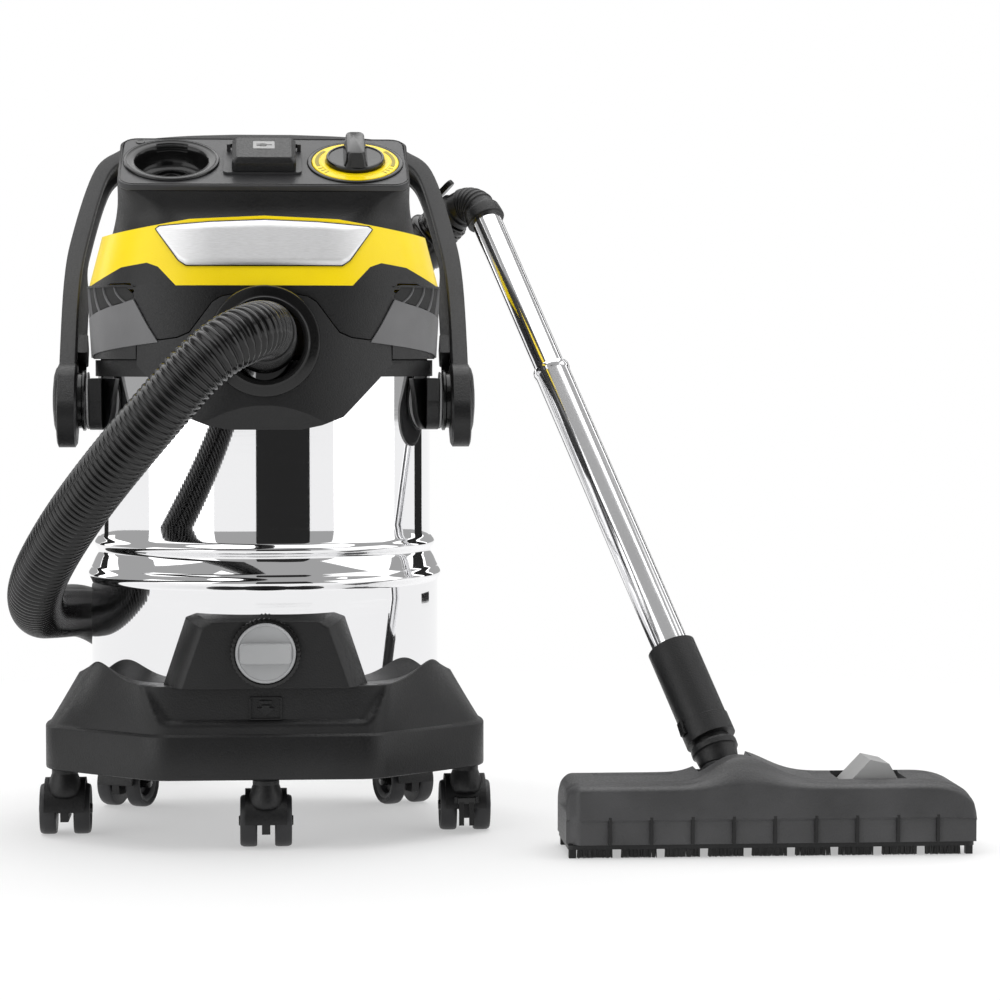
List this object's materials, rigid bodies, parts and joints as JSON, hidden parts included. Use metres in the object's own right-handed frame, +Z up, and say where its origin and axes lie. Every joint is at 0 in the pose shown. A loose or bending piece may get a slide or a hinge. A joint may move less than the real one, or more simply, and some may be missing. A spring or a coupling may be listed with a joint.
{
  "type": "shop vacuum",
  "caption": "Wet and dry shop vacuum: steel drum on castors, lift-off motor head, swing handle, corrugated hose, chrome wand and wide floor nozzle.",
  "frame": {"origin": "on the drum's axis at the level of the floor", "axes": "+X to the right across the machine, +Y to its back, +Z up; the hose inlet faces -Y"},
  "size_m": [0.9195, 0.8486, 0.7068],
  "materials": {
    "housing_plastic": "fine grained black plastic",
    "panel_plastic": "anthracite satin plastic",
    "gloss_plastic_black": "gloss black plastic",
    "yellow_plastic": "yellow satin plastic",
    "grey_plastic": "mid grey plastic",
    "light_grey_plastic": "light grey plastic",
    "drum_steel": "mirror polished stainless steel",
    "brushed_plate": "brushed steel",
    "chrome_tube": "chromed tube",
    "hose_plastic": "glossy corrugated black plastic",
    "seal_rubber": "black rubber",
    "filter_paper": "pleated filter paper",
    "bristle": "black nylon bristles",
    "motor_metal": "grey painted metal",
    "wheel_tread": "hard black tread"
  },
  "bodies": {
    "base": {"chassis": "housing_plastic", "drum": "drum_steel", "drain_boss": "housing_plastic", "inlet_housing": "housing_plastic", "inlet_ring": "gloss_plastic_black", "hose_inlet_cuff": "gloss_plastic_black", "suction_hose": "hose_plastic", "hose_end_cuff": "gloss_plastic_black", "pivot_brackets": "housing_plastic"},
    "drain_plug": {"drain_plug": "grey_plastic"},
    "handle": {"carry_handle": "panel_plastic", "handle_caps": "panel_plastic", "latch_hooks": "housing_plastic"},
    "head": {"head_housing": "housing_plastic", "accent_band": "yellow_plastic", "badge_plate": "brushed_plate", "vent_panels": "panel_plastic", "head_cover": "housing_plastic", "top_panel": "panel_plastic", "storage_cup": "housing_plastic", "knob_ring": "yellow_plastic", "rotary_switch": "housing_plastic", "socket_box": "panel_plastic", "socket_insert": "gloss_plastic_black", "head_base_plate": "housing_plastic", "head_seal": "seal_rubber", "fan_housing": "motor_metal", "motor": "motor_metal", "filter_cage": "housing_plastic", "filter_cartridge": "filter_paper", "blower_port": "housing_plastic", "cord_gland": "seal_rubber"},
    "rotor": {"fan_rotor": "motor_metal"},
    "float": {"float_ball": "light_grey_plastic"},
    "lid": {"socket_lid": "panel_plastic"},
    "knob": {"control_knob": "panel_plastic"},
    "brake": {"brake_lever": "gloss_plastic_black"},
    "wand": {"grip_elbow": "housing_plastic", "upper_tube": "chrome_tube", "lower_tube": "chrome_tube", "nozzle_sleeve": "housing_plastic", "nozzle_neck": "housing_plastic"},
    "slider": {"air_slider": "gloss_plastic_black"},
    "button": {"sleeve_button": "gloss_plastic_black"},
    "barrel": {"nozzle_barrel": "housing_plastic"},
    "nozzle": {"nozzle_body": "housing_plastic", "nozzle_base_plate": "housing_plastic", "brush_strips": "bristle"},
    "pedal": {"foot_pedal": "light_grey_plastic"},
    "rollers": {"nozzle_rollers": "wheel_tread"},
    "castor_front": {"castor_fork_front": "housing_plastic"},
    "wheels_front": {"castor_wheels_front": "wheel_tread"},
    "castor_left": {"castor_fork_left": "housing_plastic"},
    "wheels_left": {"castor_wheels_left": "wheel_tread"},
    "castor_right": {"castor_fork_right": "housing_plastic"},
    "wheels_right": {"castor_wheels_right": "wheel_tread"},
    "castor_rear_left": {"castor_fork_rear_left": "housing_plastic"},
    "wheels_rear_left": {"castor_wheels_rear_left": "wheel_tread"},
    "castor_rear_right": {"castor_fork_rear_right": "housing_plastic"},
    "wheels_rear_right": {"castor_wheels_rear_right": "wheel_tread"}
  },
  "joints": [
    {"name": "handle_swing", "type": "hinge", "parent": "base", "child": "handle", "pos_m": [0, -0.04, 0.427], "axis": [1, 0, 0], "range_deg": [0, 75]},
    {"name": "head_lift", "type": "slide", "parent": "base", "child": "head", "axis": [0, 0, 1], "range_m": [0, 0.14]},
    {"name": "drain_turn", "type": "hinge", "parent": "base", "child": "drain_plug", "pos_m": [0, -0.195, 0.19], "axis": [0, -1, 0], "range_deg": [0, 90]},
    {"name": "rotor_spin", "type": "hinge", "parent": "head", "child": "rotor", "pos_m": [0, 0, 0.49], "axis": [0, 0, 1], "continuous": true},
    {"name": "float_rise", "type": "slide", "parent": "head", "child": "float", "axis": [0, 0, 1], "range_m": [0, 0.06]},
    {"name": "lid_hinge", "type": "hinge", "parent": "head", "child": "lid", "pos_m": [0, -0.06486, 0.67701], "axis": [-1, 0, 0], "range_deg": [0, 95]},
    {"name": "knob_turn", "type": "hinge", "parent": "head", "child": "knob", "pos_m": [0.089, -0.0865, 0.66381], "axis": [0, -0.4695, 0.8829], "range_deg": [-60, 60]},
    {"name": "wand_swivel", "type": "hinge", "parent": "base", "child": "wand", "pos_m": [0.19883, 0.1952, 0.62042], "axis": [-0.6211, 0.4208, -0.6612], "range_deg": [0, 22]},
    {"name": "air_slide", "type": "slide", "parent": "wand", "child": "slider", "axis": [0.6211, -0.4208, 0.6612], "range_m": [0, 0.005]},
    {"name": "nozzle_swivel", "type": "hinge", "parent": "wand", "child": "barrel", "pos_m": [0.43612, -0.19555, 0.05629], "axis": [0, 0.6, 0.8], "range_deg": [-20, 20]},
    {"name": "nozzle_tilt", "type": "hinge", "parent": "barrel", "child": "nozzle", "pos_m": [0.43612, -0.19555, 0.05629], "axis": [1, 0, 0], "range_deg": [-15, 25]},
    {"name": "pedal_rock", "type": "hinge", "parent": "nozzle", "child": "pedal", "pos_m": [0.577, -0.202, 0.062], "axis": [0, 1, 0], "range_deg": [-6, 6]},
    {"name": "roller_spin", "type": "hinge", "parent": "nozzle", "child": "rollers", "pos_m": [0.475, -0.143, 0.011], "axis": [1, 0, 0], "continuous": true},
    {"name": "button_press", "type": "slide", "parent": "wand", "child": "button", "axis": [0.9326, 0.361, 0], "range_m": [0, 0.002], "stiffness_N_per_m": 400},
    {"name": "swivel_front", "type": "hinge", "parent": "base", "child": "castor_front", "pos_m": [0, -0.172, 0.08], "axis": [0, 0, 1], "continuous": true},
    {"name": "spin_front", "type": "hinge", "parent": "castor_front", "child": "wheels_front", "pos_m": [0, -0.158, 0.025], "axis": [1, 0, 0], "continuous": true},
    {"name": "swivel_left", "type": "hinge", "parent": "base", "child": "castor_left", "pos_m": [-0.197, -0.076, 0.08], "axis": [0, 0, 1], "continuous": true},
    {"name": "spin_left", "type": "hinge", "parent": "castor_left", "child": "wheels_left", "pos_m": [-0.197, -0.062, 0.025], "axis": [1, 0, 0], "continuous": true},
    {"name": "swivel_right", "type": "hinge", "parent": "base", "child": "castor_right", "pos_m": [0.197, -0.076, 0.08], "axis": [0, 0, 1], "continuous": true},
    {"name": "spin_right", "type": "hinge", "parent": "castor_right", "child": "wheels_right", "pos_m": [0.197, -0.062, 0.025], "axis": [1, 0, 0], "continuous": true},
    {"name": "swivel_rear_left", "type": "hinge", "parent": "base", "child": "castor_rear_left", "pos_m": [-0.15, 0.118, 0.08], "axis": [0, 0, 1], "continuous": true},
    {"name": "spin_rear_left", "type": "hinge", "parent": "castor_rear_left", "child": "wheels_rear_left", "pos_m": [-0.14408, 0.13069, 0.025], "axis": [0.9063, -0.4226, 0], "continuous": true},
    {"name": "swivel_rear_right", "type": "hinge", "parent": "base", "child": "castor_rear_right", "pos_m": [0.15, 0.118, 0.08], "axis": [0, 0, 1], "continuous": true},
    {"name": "spin_rear_right", "type": "hinge", "parent": "castor_rear_right", "child": "wheels_rear_right", "pos_m": [0.14408, 0.13069, 0.025], "axis": [0.9063, 0.4226, 0], "continuous": true},
    {"name": "brake_press", "type": "hinge", "parent": "castor_right", "child": "brake", "pos_m": [0.197, -0.0945, 0.034], "axis": [-1, 0, 0], "range_deg": [0, 20]}
  ]
}
